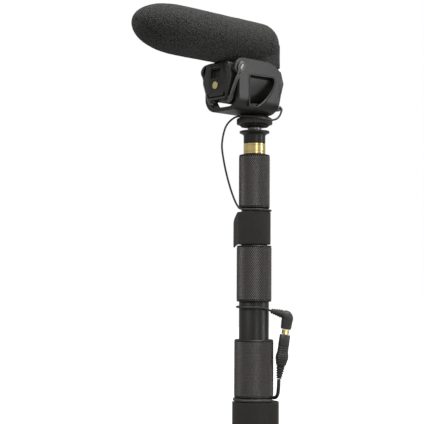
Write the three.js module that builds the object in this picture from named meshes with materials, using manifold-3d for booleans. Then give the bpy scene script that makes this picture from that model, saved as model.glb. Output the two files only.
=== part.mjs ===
// A five-section telescopic boom pole rigged with a shock-mounted shotgun microphone, its lead and an
// extension cable. Millimetres, +Z up along the pole, the microphone facing -Y. The origin is on the
// pole's axis, at the middle of the stretch of handle that a hand holds.
import * as THREE from 'three';
import { mergeVertices } from 'three/addons/utils/BufferGeometryUtils.js';
import Module from 'manifold-3d';

const wasm = await Module();
wasm.setup();

// ---------------------------------------------------------------- driving dimensions
const SIDES = 40; // facets round the pole
const GAP = 0.3; // between pieces that meet face to face
const BUTT_Z = -190;

// The pole's sections, from the tip's (1) to the handle's (5).
const TUBE_WALL = 1.2;
const TUBE_OD = [18.4, 21.7, 25, 28.3, 31.6];
const TRAVEL = [540, 505, 505, 505]; // how far sections 1 to 4 slide out
const OVERLAP = 100; // what stays inside at full reach
// The twist locks on top of sections 2 to 5.
const LOCK_OD = [26.2, 29.4, 32.9, 36.3];
const LOCK_TOP = [729.5, 653.1, 574.9, 484];
const LOCK_LENGTH = [45.2, 46.8, 47.9, 50];
const LOCK_LIP = 3;
const COLLET_LENGTH = 12.4;

// Tip
const RING_Z = 730;
const RING_HEIGHT = 9.3;
const FLANGE_Z = 747.2;
const TIP_TOP = 749.8;
const STUD_R = 4.76; // a 3/8 inch thread
const STUD_CLEARANCE = 0.34;

// Shoe and cradle
const FOOT_Z = 752.7;
const FOOT_SIDE = 18.6; // a standard accessory shoe
const WHEEL_Z = 755.3;
const WHEEL_R = 15.1;
const CRADLE_Z = 762.8;
const CRADLE_TOP = 805.3;
const CRADLE_HALF = 20.5;
const CRADLE_FRONT = -38;
const CRADLE_REAR = 9;
const ARM = 3;
const LEAD_D = 1.65;

// Microphone
const MIC_Z = 823; // height of the capsule's axis
const FOAM_R = 19.6;
const FOAM_FRONT = -131;
const FOAM_REAR = 20.5;
const FOAM_DOME = 47;
const FOAM_BORE = 11.4;
const FOAM_BLUNT = 0.9; // under 1, the nose is blunter than an ellipse
const FOAM_SAG = 1.06; // the lower half is that much deeper
const BARREL_R = 11;
const HOUSING_FRONT = -43;
const HOUSING_REAR = 17;
const DOOR_FACE = -45.5;
const DOOR_PIVOT_Z = 775.2;
const CLIP_Y = 11.1;
const CLIP_Z = 768.5;

// Extension cable and its connectors
const CABLE_D = 2.95;
const WINDING_TOP = 425.8;
const WINDING_TURNS = 25;
const WINDING_PITCH = 3.05;
const CABLE_SIDE = 50; // degrees round the pole where the cable runs down

// ---------------------------------------------------------------- materials
function material(color, roughness, metalness = 0) {
  return new THREE.MeshStandardMaterial({ color, roughness, metalness });
}

const anodised = material(0x2c2a27, 0.28, 0.9);
const knurled = material(0x4b4843, 0.5, 0.8);
const satinBlack = material(0x33312e, 0.45, 0.7);
const gold = material(0xe6ca77, 0.22, 1);
const steel = material(0xb9b8b4, 0.3, 1);
const blackPlastic = material(0x3a3937, 0.55);
const greyPlastic = material(0x6a6965, 0.5);
const nylon = material(0xdedad0, 0.5);
const rubber = material(0x2b2a29, 0.7);
const band = material(0x77736d, 0.45);
const foam = material(0x3d3d3d, 0.95);
const webbing = material(0x474643, 0.9);
const cableRubber = material(0x34332f, 0.5);
const circuit = material(0x1f5a37, 0.5);
const cell = material(0x26303a, 0.35, 0.3);
const led = material(0x7fbf6a, 0.2);

// ---------------------------------------------------------------- solids
function signedVolume(geometry) {
  const p = geometry.attributes.position;
  const index = geometry.index;
  const [a, b, c] = [new THREE.Vector3(), new THREE.Vector3(), new THREE.Vector3()];
  let volume = 0;
  for (let i = 0; i < index.count; i += 3) {
    a.fromBufferAttribute(p, index.getX(i));
    b.fromBufferAttribute(p, index.getX(i + 1));
    c.fromBufferAttribute(p, index.getX(i + 2));
    volume += a.dot(b.cross(c)) / 6;
  }
  return volume;
}

// Merged vertices, no empty triangles, faces pointing out.
function closed(geometry) {
  const bare = geometry.clone();
  bare.deleteAttribute('normal');
  bare.deleteAttribute('uv');
  const merged = mergeVertices(bare, 1e-4);
  const kept = [];
  for (let i = 0; i < merged.index.count; i += 3) {
    const face = [0, 1, 2].map((k) => merged.index.getX(i + k));
    if (new Set(face).size === 3) kept.push(face);
  }
  merged.setIndex(kept.flat());
  if (signedVolume(merged) < 0) merged.setIndex(kept.map(([i, j, k]) => [i, k, j]).flat());
  return merged;
}

function toManifold(geometry) {
  const solid = closed(geometry);
  return new wasm.Manifold(new wasm.Mesh({
    numProp: 3,
    vertProperties: new Float32Array(solid.attributes.position.array),
    triVerts: new Uint32Array(solid.index.array),
  }));
}

function fromManifold(solid) {
  const mesh = solid.getMesh();
  const geometry = new THREE.BufferGeometry();
  geometry.setAttribute('position', new THREE.BufferAttribute(new Float32Array(mesh.vertProperties), 3));
  geometry.setIndex(Array.from(mesh.triVerts));
  return geometry;
}

// The solid stretched tight over all the pieces.
function wrapped(...pieces) {
  return fromManifold(wasm.Manifold.hull(pieces.map(toManifold)));
}

function subtract(base, ...cutters) {
  return fromManifold(cutters.reduce((solid, cutter) => solid.subtract(toManifold(cutter)), toManifold(base)));
}

function unite(...pieces) {
  return fromManifold(pieces.map(toManifold).reduce((solid, piece) => solid.add(piece)));
}

function intersect(base, cutter) {
  return fromManifold(toManifold(base).intersect(toManifold(cutter)));
}

// A profile of [radius, z] points turned about the pole's axis.
function turned(profile, sides = SIDES) {
  const geometry = new THREE.LatheGeometry(profile.map(([r, z]) => new THREE.Vector2(r, z)), sides);
  return closed(geometry.rotateX(Math.PI / 2));
}

// A closed profile of [radius, z] points turned into a ring.
function turnedRing(profile, sides = SIDES) {
  return turned([...profile, profile[0]], sides);
}

function ring(inner, outer, low, high, sides = SIDES) {
  return turnedRing([[inner, low], [outer, low], [outer, high], [inner, high]], sides);
}

// The same, about the microphone's axis: z in the profile becomes the distance behind the pole's axis.
function barrelTurned(geometry) {
  return geometry.rotateX(-Math.PI / 2).translate(0, 0, MIC_Z);
}

function box(x0, x1, y0, y1, z0, z1) {
  const geometry = new THREE.BoxGeometry(x1 - x0, y1 - y0, z1 - z0);
  return geometry.translate((x0 + x1) / 2, (y0 + y1) / 2, (z0 + z1) / 2);
}

function rod(radius, length, sides = 16) {
  return new THREE.CylinderGeometry(radius, radius, length, sides);
}

function outline(points) {
  return new THREE.Shape(points.map(([a, b]) => new THREE.Vector2(a, b)));
}

function extruded(shape, depth) {
  return new THREE.ExtrudeGeometry(shape, { depth, bevelEnabled: false, curveSegments: 12 });
}

// An outline drawn in Y and Z, extruded along X.
function extrudedAlongX(shape, x0, x1) {
  const axes = new THREE.Matrix4().makeBasis(
    new THREE.Vector3(0, 1, 0), new THREE.Vector3(0, 0, 1), new THREE.Vector3(1, 0, 0));
  return extruded(shape, x1 - x0).applyMatrix4(axes).translate(x0, 0, 0);
}

// An outline drawn in X and Z, extruded along Y.
function extrudedAlongY(shape, y0, y1) {
  const axes = new THREE.Matrix4().makeBasis(
    new THREE.Vector3(1, 0, 0), new THREE.Vector3(0, 0, 1), new THREE.Vector3(0, -1, 0));
  return extruded(shape, y1 - y0).applyMatrix4(axes).translate(0, y1, 0);
}

function aroundPole([degrees, radius, z]) {
  const angle = THREE.MathUtils.degToRad(degrees);
  return new THREE.Vector3(radius * Math.cos(angle), radius * Math.sin(angle), z);
}

// A round cord along a list of points.
function cord(points, diameter, steps, sides = 8) {
  const section = new THREE.Shape();
  for (let i = 0; i < sides; i += 1) {
    const angle = (i / sides) * Math.PI * 2;
    section[i ? 'lineTo' : 'moveTo'](Math.cos(angle) * diameter / 2, Math.sin(angle) * diameter / 2);
  }
  const extrudePath = new THREE.CatmullRomCurve3(points);
  return new THREE.ExtrudeGeometry(section, { extrudePath, steps, bevelEnabled: false });
}

const assembly = new THREE.Group();

function add(name, geometry, finish, parent = assembly) {
  const mesh = new THREE.Mesh(closed(geometry), finish);
  mesh.name = name;
  parent.add(mesh);
}

// ---------------------------------------------------------------- pole sections
function tubeInner(section) {
  return TUBE_OD[section - 1] / 2 - TUBE_WALL;
}

function sectionTop(section) {
  return section === 1 ? RING_Z - GAP : LOCK_TOP[section - 2] - LOCK_LIP - COLLET_LENGTH - 2 * GAP;
}

function sectionBottom(section) {
  if (section === 5) return BUTT_Z + 6;
  return LOCK_TOP[section - 1] - LOCK_LIP - COLLET_LENGTH - TRAVEL[section - 1] - OVERLAP;
}

// A plain bush below the tube's end that runs in the next section, with a spigot up inside the tube.
function guideBush(section) {
  const bottom = sectionBottom(section);
  const runs = tubeInner(section + 1) - 0.2;
  const spigot = tubeInner(section) - GAP;
  const bore = spigot - 1.6;
  return turnedRing([
    [bore, bottom - 12], [runs, bottom - 12], [runs, bottom - GAP],
    [spigot, bottom - GAP], [spigot, bottom + 8], [bore, bottom + 8],
  ]);
}

for (let section = 1; section <= 5; section += 1) {
  const name = section === 5 ? 'handle_tube' : `section_${section}_tube`;
  const tube = ring(tubeInner(section), TUBE_OD[section - 1] / 2, sectionBottom(section), sectionTop(section));
  add(name, tube, anodised);
  if (section < 5) add(`guide_bush_${section}`, guideBush(section), nylon);
}

// ---------------------------------------------------------------- twist locks
// Lock n stands on section n + 1 and grips section n.
function lockCollar(n) {
  const outer = LOCK_OD[n - 1] / 2;
  const top = LOCK_TOP[n - 1];
  const bottom = top - LOCK_LENGTH[n - 1];
  const bore = TUBE_OD[n] / 2 + 0.35;
  const mouth = TUBE_OD[n - 1] / 2 + 0.4;
  const chamfer = 0.8;
  return turnedRing([
    [bore, bottom], [outer - chamfer, bottom], [outer, bottom + chamfer], [outer, top - chamfer],
    [outer - chamfer, top], [mouth, top], [mouth, top - LOCK_LIP], [bore, top - LOCK_LIP],
  ], 48);
}

// A split ring that the collar squeezes onto the inner section.
function collet(n) {
  const top = LOCK_TOP[n - 1] - LOCK_LIP - GAP;
  const inner = TUBE_OD[n - 1] / 2 + 0.35;
  const outer = TUBE_OD[n] / 2;
  const sleeve = ring(inner, outer, top - COLLET_LENGTH, top);
  return subtract(sleeve, box(0, outer + 1, -0.6, 0.6, top - COLLET_LENGTH - 1, top + 1));
}

for (let n = 1; n <= 4; n += 1) {
  add(`lock_collar_${n}`, lockCollar(n), knurled);
  add(`collet_${n}`, collet(n), nylon);
}

// ---------------------------------------------------------------- butt
function buttCap() {
  const outer = TUBE_OD[4] / 2 + 1.6;
  const tubeEnd = sectionBottom(5) - GAP;
  const groove = [TUBE_OD[4] / 2 + 0.35, tubeInner(5) - 0.35];
  return turned([
    [0, BUTT_Z], [outer - 1, BUTT_Z], [outer, BUTT_Z + 1], [outer, BUTT_Z + 22], [groove[0], BUTT_Z + 22],
    [groove[0], tubeEnd], [groove[1], tubeEnd], [groove[1], tubeEnd + 5], [0, tubeEnd + 5],
  ]);
}

add('butt_cap', buttCap(), rubber);

// ---------------------------------------------------------------- tip
function tipFitting() {
  const barrel = TUBE_OD[0] / 2;
  const spigot = tubeInner(1) - 0.4;
  const ringTop = RING_Z + RING_HEIGHT + GAP;
  const bore = STUD_R + STUD_CLEARANCE;
  return turned([
    [0, RING_Z - 25], [spigot, RING_Z - 25], [spigot, ringTop], [barrel, ringTop], [barrel, FLANGE_Z - 0.3],
    [12.65, FLANGE_Z + 0.7], [12.65, TIP_TOP], [bore, TIP_TOP], [bore, RING_Z - 15], [0, RING_Z - 15],
  ]);
}

function threadStud() {
  const shoulder = 5.75;
  return turned([
    [0, RING_Z - 14.7], [STUD_R, RING_Z - 14.7], [STUD_R, TIP_TOP + GAP], [shoulder, TIP_TOP + GAP],
    [shoulder, FOOT_Z - GAP], [STUD_R, FOOT_Z - GAP], [STUD_R, FOOT_Z + 7], [0, FOOT_Z + 7],
  ], 24);
}

add('tip_ring', ring(tubeInner(1) - 0.1, TUBE_OD[0] / 2, RING_Z, RING_Z + RING_HEIGHT), gold);
add('tip_fitting', tipFitting(), satinBlack);
add('thread_stud', threadStud(), steel);

// ---------------------------------------------------------------- shoe
const HUB_R = 7.2;

function shoeFoot() {
  const plate = new THREE.CylinderGeometry(FOOT_SIDE / Math.SQRT2, 0.82 * FOOT_SIDE / Math.SQRT2, 2.3, 4);
  plate.rotateX(Math.PI / 2).rotateZ(Math.PI / 4).translate(0, 0, FOOT_Z + 1.15);
  const hub = turned([[0, FOOT_Z + 1], [HUB_R, FOOT_Z + 1], [HUB_R, CRADLE_Z - GAP], [0, CRADLE_Z - GAP]], 24);
  const bore = rod(STUD_R + STUD_CLEARANCE, 9.5, 24).rotateX(Math.PI / 2).translate(0, 0, FOOT_Z + 3.25);
  return subtract(unite(plate, hub), bore);
}

function shoeWheel() {
  const bore = HUB_R + GAP;
  const rimTop = WHEEL_Z + 5;
  return turnedRing([
    [bore, WHEEL_Z], [WHEEL_R - 0.6, WHEEL_Z], [WHEEL_R, WHEEL_Z + 0.6], [WHEEL_R, rimTop],
    [WHEEL_R - 3.4, CRADLE_Z - GAP], [bore, CRADLE_Z - GAP],
  ], 48);
}

add('shoe_foot', shoeFoot(), satinBlack);
add('shoe_wheel', shoeWheel(), blackPlastic);

// ---------------------------------------------------------------- cradle
// The U of arms and floor, seen from the front.
function cradleSection() {
  const corner = 12;
  const inside = CRADLE_HALF - ARM;
  const floor = CRADLE_Z + 3.3;
  const shape = new THREE.Shape();
  shape.moveTo(CRADLE_HALF, CRADLE_TOP);
  shape.lineTo(inside, CRADLE_TOP);
  shape.lineTo(inside, floor + corner - 1.5);
  shape.absarc(inside - corner + 1.5, floor + corner - 1.5, corner - 1.5, 0, -Math.PI / 2, true);
  shape.lineTo(-inside + corner - 1.5, floor);
  shape.absarc(-inside + corner - 1.5, floor + corner - 1.5, corner - 1.5, -Math.PI / 2, -Math.PI, true);
  shape.lineTo(-inside, CRADLE_TOP);
  shape.lineTo(-CRADLE_HALF, CRADLE_TOP);
  shape.lineTo(-CRADLE_HALF, CRADLE_Z + corner);
  shape.absarc(-CRADLE_HALF + corner, CRADLE_Z + corner, corner, Math.PI, Math.PI * 1.5, false);
  shape.lineTo(CRADLE_HALF - corner, CRADLE_Z);
  shape.absarc(CRADLE_HALF - corner, CRADLE_Z + corner, corner, -Math.PI / 2, 0, false);
  return shape;
}

// The arms' outline from the side, with a nose at the front and a swelling behind for the bands.
function armOutline() {
  const shape = new THREE.Shape();
  shape.moveTo(CRADLE_FRONT, CRADLE_Z - 1);
  shape.lineTo(CRADLE_FRONT, 787);
  shape.quadraticCurveTo(CRADLE_FRONT, 791, -41, 792.5);
  shape.quadraticCurveTo(-44.5, 795, -42.5, 799.5);
  shape.quadraticCurveTo(-39.5, 804.6, -32.5, CRADLE_TOP);
  shape.lineTo(-6.5, CRADLE_TOP);
  shape.quadraticCurveTo(4.5, 804.5, CRADLE_REAR + 0.5, 799);
  shape.quadraticCurveTo(12.5, 793, CRADLE_REAR, 787);
  shape.lineTo(CRADLE_REAR, CRADLE_Z - 1);
  return shape;
}

// The D-shaped window in each arm.
function armWindow() {
  const shape = new THREE.Shape();
  shape.moveTo(-25, 766.4);
  shape.lineTo(-17, 766.4);
  shape.quadraticCurveTo(-5.5, 772.5, 1.5, 784);
  shape.quadraticCurveTo(5.5, 793, -0.3, 793);
  shape.lineTo(-25, 792.2);
  shape.quadraticCurveTo(-26.4, 792.2, -26.4, 791);
  shape.lineTo(-26.4, 768);
  shape.quadraticCurveTo(-26.4, 766.4, -25, 766.4);
  return shape;
}

function cradle() {
  const reach = CRADLE_HALF + 1;
  const bent = extrudedAlongY(cradleSection(), CRADLE_FRONT - 8, CRADLE_REAR + 8);
  const trimmed = intersect(bent, extrudedAlongX(armOutline(), -reach, reach));
  return subtract(trimmed, extrudedAlongX(armWindow(), -reach, reach));
}

function cableClip() {
  const body = box(12, 19, CRADLE_REAR + GAP, CLIP_Y + 2, CLIP_Z - 2.2, CLIP_Z + 2.2);
  const bore = rod(LEAD_D / 2 + 0.3, 9, 12).rotateZ(Math.PI / 2).translate(15.5, CLIP_Y, CLIP_Z);
  return subtract(body, bore);
}

add('cradle', cradle(), blackPlastic);
add('cable_clip', cableClip(), greyPlastic);

// Each elastic band runs from an arm's nose down to a lug under the housing.
const BAND_D = 2.6;
for (const side of [-1, 1]) {
  for (const end of ['front', 'rear']) {
    const [y0, y1] = end === 'front' ? [-40, -40.4] : [12.9, 14.4];
    const points = [new THREE.Vector3(18.2 * side, y0, 790), new THREE.Vector3(13.2 * side, y1, 773.5)];
    add(`band_${end}_${side < 0 ? 'left' : 'right'}`, cord(points, BAND_D, 1), band);
  }
}

// ---------------------------------------------------------------- microphone housing
const HOUSING_TOP = 802.9;
const HOUSING_SECTION = [[9.9, 771.5], [14.4, 783.5], [16.5, 790.5], [13.4, 801], [11.4, HOUSING_TOP]];

function mirrored(points) {
  return [...points, ...points.map(([x, z]) => [-x, z]).reverse()];
}

function insetSection(inset, low, high) {
  const middle = HOUSING_SECTION.slice(1, 4).map(([x, z]) => [x - inset, z]);
  const lowest = HOUSING_SECTION[0][0] + (low - HOUSING_SECTION[0][1]) * 0.375 - inset;
  return outline(mirrored([[lowest, low], ...middle, [HOUSING_SECTION[4][0] - inset, high]]));
}

function micHousing() {
  const full = extrudedAlongY(outline(mirrored(HOUSING_SECTION)), HOUSING_FRONT, HOUSING_REAR);
  const rim = extrudedAlongY(insetSection(2.4, 773.4, 801.7), DOOR_FACE + 0.2, HOUSING_FRONT);
  const shell = wrapped(full, rim);
  const lip = box(-9.8, 9.8, DOOR_FACE + 0.4, HOUSING_FRONT + 1, HOUSING_SECTION[0][1], 773.4);
  const neck = box(-5.5, 5.5, -8, 10, HOUSING_TOP - 1, MIC_Z - BARREL_R - 0.4);
  const lugs = [-1, 1].flatMap((side) => [[-42, -38.4], [12.6, 16.2]].map(([y0, y1]) => (
    box(Math.min(side * 7, side * 11.6), Math.max(side * 7, side * 11.6), y0, y1, 769.8, 773))));
  const doorway = extrudedAlongY(insetSection(2.7, 773.4, 801.5), DOOR_FACE - 1, HOUSING_FRONT - 0.4);
  const hingeRoom = box(-10, 10, DOOR_FACE - 1, HOUSING_FRONT - 0.4, 773.4, 777.6);
  const batteryBay = box(-8.6, 8.6, HOUSING_FRONT - 1, 9.5, 773, 800.2);
  const rearBay = box(-9.2, 9.2, 11, HOUSING_REAR + 1, 775, 799);
  return subtract(unite(shell, lip, neck, ...lugs), doorway, hingeRoom, batteryBay, rearBay);
}

// The rear panel, with slots for the two switches and a hole for the lamp.
function rearPanel() {
  const plate = extrudedAlongY(insetSection(0.6, 772.2, 802.2), HOUSING_REAR + GAP, HOUSING_REAR + 2);
  const slots = [782, 795].map((z) => box(-5, 5, HOUSING_REAR - 1, HOUSING_REAR + 3, z - 2.2, z + 2.2));
  const lamp = rod(1.5, 6, 12).translate(0, HOUSING_REAR + 1, 788.5);
  return subtract(plate, ...slots, lamp);
}

// The battery door: a front plate with a boss behind it, and a finger recess under the latch.
function batteryDoor() {
  const plate = extrudedAlongY(insetSection(3, 774.3, 801.2), DOOR_FACE, DOOR_FACE + 1.8);
  const boss = box(-8.2, 8.2, DOOR_FACE + 1, -40, 787.5, 799.4);
  const recess = box(-5.9, 5.9, DOOR_FACE - 1, DOOR_FACE + 3.4, 789.5, 804);
  return subtract(unite(plate, boss), recess);
}

function doorLatch() {
  const tab = box(-5.5, 5.5, DOOR_FACE + 0.1, DOOR_FACE + 1.8, 796.4, 801);
  return subtract(tab, box(-6, 6, DOOR_FACE - 1, DOOR_FACE + 0.9, 798, 799));
}

function slideSwitch(z) {
  return box(-1.8, 1.8, HOUSING_REAR - 1.5, HOUSING_REAR + 3.6, z - 1.7, z + 1.7);
}

function battery() {
  const can = box(-8.1, 8.1, -39, 6.6, 773.7, 799.3);
  const posts = [-1, 1].map((side) => (
    rod(2.6, 2.6, 12).translate(0, 7.6, 786.5 + side * 6.4)));
  return unite(can, ...posts);
}

add('mic_housing', micHousing(), blackPlastic);
add('rear_panel', rearPanel(), blackPlastic);
add('circuit_board', box(-8.5, 8.5, 12, 13.5, 776.5, 797.5), circuit);
add('battery', battery(), cell);
add('battery_door', batteryDoor(), blackPlastic);
add('door_latch', doorLatch(), blackPlastic);
add('gold_dot', rod(3.05, 0.5, 24).translate(0, DOOR_FACE - 0.55, 783.4), gold);
add('power_switch', slideSwitch(795), greyPlastic);
add('level_switch', slideSwitch(782), greyPlastic);
add('status_lamp', rod(1.2, 3.4, 12).translate(0, HOUSING_REAR + 0.8, 788.5), led);

// ---------------------------------------------------------------- microphone barrel and windshield
function interferenceTube() {
  const barrel = barrelTurned(ring(BARREL_R - 1, BARREL_R, -118, 13.5, 32));
  const slots = [];
  for (let y = -110; y <= -26; y += 12) slots.push(box(-14, 14, y, y + 8, MIC_Z + 2.5, MIC_Z + 4.7));
  return subtract(barrel, ...slots);
}

function barrelCap() {
  return barrelTurned(turned([[0, 8], [9.6, 8], [9.6, 13.8], [BARREL_R, 13.8], [BARREL_R, 18], [9, 19.6], [0, 20.2]], 32));
}

function windshield() {
  const profile = [];
  const domeStart = FOAM_FRONT + FOAM_DOME;
  for (let i = 0; i <= 9; i += 1) {
    const angle = (i / 9) * Math.PI / 2;
    const reach = FOAM_DOME * Math.max(0, Math.cos(angle)) ** FOAM_BLUNT;
    profile.push([FOAM_R * Math.sin(angle) ** FOAM_BLUNT, domeStart - reach]);
  }
  const rearRounding = 17.8;
  const flat = FOAM_R - rearRounding;
  for (let i = 0; i <= 5; i += 1) {
    const angle = (i / 5) * Math.acos((FOAM_BORE + 0.2 - flat) / rearRounding);
    profile.push([flat + rearRounding * Math.cos(angle), FOAM_REAR - rearRounding * (1 - Math.sin(angle))]);
  }
  const rear = profile.at(-1)[1];
  profile.push([0, rear]);
  const body = barrelTurned(turned(profile, 36));
  const at = body.attributes.position;
  for (let i = 0; i < at.count; i += 1) {
    if (at.getZ(i) < MIC_Z) at.setZ(i, MIC_Z + (at.getZ(i) - MIC_Z) * FOAM_SAG);
  }
  const bore = barrelTurned(turned([[0, -119.5], [FOAM_BORE, -119.5], [FOAM_BORE, rear + 5], [0, rear + 5]], 36));
  const slot = box(-6.3, 6.3, -9.5, FOAM_REAR + 5, MIC_Z - FOAM_R - 3, MIC_Z - 9);
  const seat = box(-18, 18, DOOR_FACE - 0.5, FOAM_REAR + 5, MIC_Z - FOAM_R - 3, HOUSING_TOP + GAP);
  return subtract(unite(body, foamSkirt()), bore, slot, seat);
}

// The foam's underside spreads towards the rear into a block with round corners.
function foamSkirt() {
  const [half, corner, rear] = [16.8, 6.65, 17.6];
  const plan = new THREE.Shape();
  plan.moveTo(-8, -34);
  plan.lineTo(8, -34);
  plan.lineTo(half, -2);
  plan.lineTo(half, rear - corner);
  plan.absarc(half - corner, rear - corner, corner, 0, Math.PI / 2, false);
  plan.lineTo(-half + corner, rear);
  plan.absarc(-half + corner, rear - corner, corner, Math.PI / 2, Math.PI, false);
  plan.lineTo(-half, -2);
  return extruded(plan, MIC_Z - HOUSING_TOP - GAP).translate(0, 0, HOUSING_TOP + GAP);
}

add('interference_tube', interferenceTube(), satinBlack);
add('capsule', barrelTurned(turned([[0, -9], [9.4, -9], [9.4, 5], [0, 5]], 32)), steel);
add('barrel_cap', barrelCap(), blackPlastic);
add('windshield', windshield(), foam);

// ---------------------------------------------------------------- straps
// A hook-and-loop strap wound round a tube, swelling out over a cable at one side.
function strap({ radii, swollen, low, high, side, plateau }) {
  const point = (k, degrees) => {
    const away = Math.abs(THREE.MathUtils.euclideanModulo(degrees - side + 180, 360) - 180);
    const swell = 1 - THREE.MathUtils.smoothstep(away, plateau, plateau + 28);
    const radius = THREE.MathUtils.lerp(radii[k], swollen[k], swell);
    const at = aroundPole([degrees, radius, 0]);
    return new THREE.Vector2(at.x, at.y);
  };
  const loop = (k) => Array.from({ length: 60 }, (_, i) => point(k, i * 6));
  const shape = new THREE.Shape(loop(1));
  shape.holes.push(new THREE.Path(loop(0)));
  return extruded(shape, high - low).translate(0, 0, low);
}

// Strap 1's free end stands off the pole, edge-on at its left.
function strapTail() {
  const tail = box(-16.6, -15, 1, 15, 653.4, 677);
  const root = box(-15.7, -12.6, 0, 3, 656, 676);
  return unite(tail, root).rotateZ(Math.PI / 4);
}

const STRAP_1 = { radii: [11.15, 14.15], swollen: [16.8, 18.1], low: 654, high: 681.2, side: 135, plateau: 7 };
const STRAP_2 = { radii: [14.5, 17.3], swollen: [19.1, 20.6], low: 496, high: 523.6, side: 45, plateau: 24 };
const STRAP_3 = { radii: [16.1, 18.9], swollen: [21.4, 22.8], low: 312, high: 339.5, side: CABLE_SIDE, plateau: 12 };

add('strap_1', unite(strap(STRAP_1), strapTail()), webbing);
add('strap_2', strap(STRAP_2), webbing);
add('strap_3', strap(STRAP_3), webbing);

// ---------------------------------------------------------------- microphone lead
// Points of a route are [degrees round the pole, radius, z].
const LEAD_UPPER_ROUTE = [
  [30, 22.2, 768.5], [28.5, 23.4, 768.3], [26.5, 24, 767], [24.5, 23.7, 764.6], [20.5, 22.9, 761.4],
  [13, 21.4, 758.6], [-2.5, 18.9, 757.3], [-23, 17.6, 758.4], [-50, 17.1, 760], [-76, 17.6, 760.7],
  [-100, 19.3, 760.2], [-109, 22, 757.8], [-113.5, 24.7, 754.3], [-116, 26.6, 749.5], [-118.5, 28.4, 737.3],
  [-119.8, 26.8, 725], [-119.5, 22.6, 706.8], [-118.5, 17.6, 692], [-116, 14.9, 686.4], [-105, 13.9, 683.9],
  [-80, 13.8, 683.2], [-45, 13.8, 682.9], [-10, 13.8, 682.8], [30, 13.9, 682.6], [70, 14, 682.5],
  [105, 14.6, 682.8], [122, 15.4, 682.3], [133, 15.75, 678.8], [135, 15.75, 673], [135, 15.75, 667.2],
];
const LEAD_LOWER_ROUTE = [
  [135, 15.75, 666.9], [135, 15.75, 660], [135, 15.75, 645], [135, 15.75, 628], [135, 15.75, 613],
  [138, 15.7, 608], [150, 15.3, 604.4], [175, 14.7, 602.6], [205, 14.4, 602], [240, 14.35, 601.8],
  [275, 14.35, 601.7], [310, 14.3, 601.7], [335, 14.2, 601.6], [352, 13.95, 601.2], [365, 13.85, 600.4],
  [375, 14.25, 599.6], [381, 14.95, 599],
];

add('mic_lead_tail', cord([
  new THREE.Vector3(4, 15.4, 771.1), new THREE.Vector3(4.8, 15.3, 769.4),
  new THREE.Vector3(7.8, 14, 768.6), new THREE.Vector3(11.6, CLIP_Y, CLIP_Z),
], LEAD_D, 6), cableRubber);
add('lead_upper', cord(LEAD_UPPER_ROUTE.map(aroundPole), LEAD_D, 70), cableRubber);
add('lead_lower', cord(LEAD_LOWER_ROUTE.map(aroundPole), LEAD_D, 36), cableRubber);

// ---------------------------------------------------------------- plug and socket beside section 3
// The pair hangs at the pole's right, leaning in. Its own axes: x away from the pole, z up along the plug.
const connectors = new THREE.Group();
connectors.position.set(22.77, 17.11, 596);
connectors.rotation.set(0, THREE.MathUtils.degToRad(7.8), Math.PI / 4, 'ZYX');
assembly.add(connectors);

function leadPlug() {
  const body = turned([[0, -12.6], [4, -12.6], [4.9, -5], [4.9, -2.5], [3.6, 0.7], [0, 1.9]], 20);
  const boot = new THREE.CylinderGeometry(1.5, 3.5, 14.5, 16).translate(0, 7.25, 0);
  const toLead = new THREE.Vector3(-14.2, -1.9, 2.6).normalize();
  boot.applyQuaternion(new THREE.Quaternion().setFromUnitVectors(new THREE.Vector3(0, 1, 0), toLead));
  boot.translate(0, 0, -1.7);
  return unite(body, boot);
}

function leadPlugPin() {
  return turned([
    [0, -31], [1, -31], [1.75, -29.5], [1.75, -16.5], [3.05, -16.5], [3.05, -12.9], [0, -12.9],
  ], 16);
}

function socketBody() {
  return turned([
    [0, -42.6], [3.9, -42.6], [4.6, -40.5], [5.4, -37], [5.4, -34.4], [4.7, -31.5], [4.4, -17], [2.1, -17],
    [2.1, -32], [0, -32],
  ], 20);
}

function socketRelief() {
  return turned([[0, -53.6], [2.3, -53.6], [3.9, -42.9], [0, -42.9]], 16);
}

add('lead_plug', leadPlug(), rubber, connectors);
add('lead_plug_pin', leadPlugPin(), gold, connectors);
add('socket_body', socketBody(), rubber, connectors);
add('socket_relief', socketRelief(), rubber, connectors);

// ---------------------------------------------------------------- extension cable
const EXT_UPPER_ROUTE = [
  [34.1, 21.2, 542.4], [35, 21, 538], [37.5, 20.6, 533.5], [42, 20, 529.8], [50, 19, 527.4],
  [62, 18.4, 526.3], [80, 17.9, 525.8], [100, 17.3, 525.6], [125, 16.7, 525.4], [150, 16.4, 525.3],
  [180, 16.1, 525.3], [225, 16, 525.3],
  [270, 16, 525.3], [315, 16, 525.3], [345, 16.1, 525.3], [366, 16.4, 525.2], [384, 16.9, 524],
  [396, 17, 520.5], [403, 16.9, 515.5], [405, 16.8, 510.3],
];
const EXT_LOWER_ROUTE = [
  [45, 16.8, 510], [46, 16.8, 504], [47, 17.1, 497], [48, 18.3, 491], [CABLE_SIDE, 19.8, 486],
  [CABLE_SIDE, 20.3, 479], [CABLE_SIDE, 20.3, 465], [CABLE_SIDE, 20.3, 448], [CABLE_SIDE, 20.2, 436],
  [CABLE_SIDE, 19.2, 431], [CABLE_SIDE, 17.8, 426.2],
];
const EXT_TAIL_ROUTE = [
  [CABLE_SIDE, 17.6, 349.2], [CABLE_SIDE, 17.6, 341], [CABLE_SIDE, 17.9, 332], [CABLE_SIDE, 18.6, 320],
  [CABLE_SIDE, 19.6, 310], [CABLE_SIDE, 21, 300.3],
];

// The rest of the cable, close-wound on the handle below its lock.
function extWinding() {
  const inner = TUBE_OD[4] / 2 + GAP;
  return ring(inner, inner + CABLE_D + 0.1, WINDING_TOP - WINDING_TURNS * WINDING_PITCH, WINDING_TOP);
}

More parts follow.
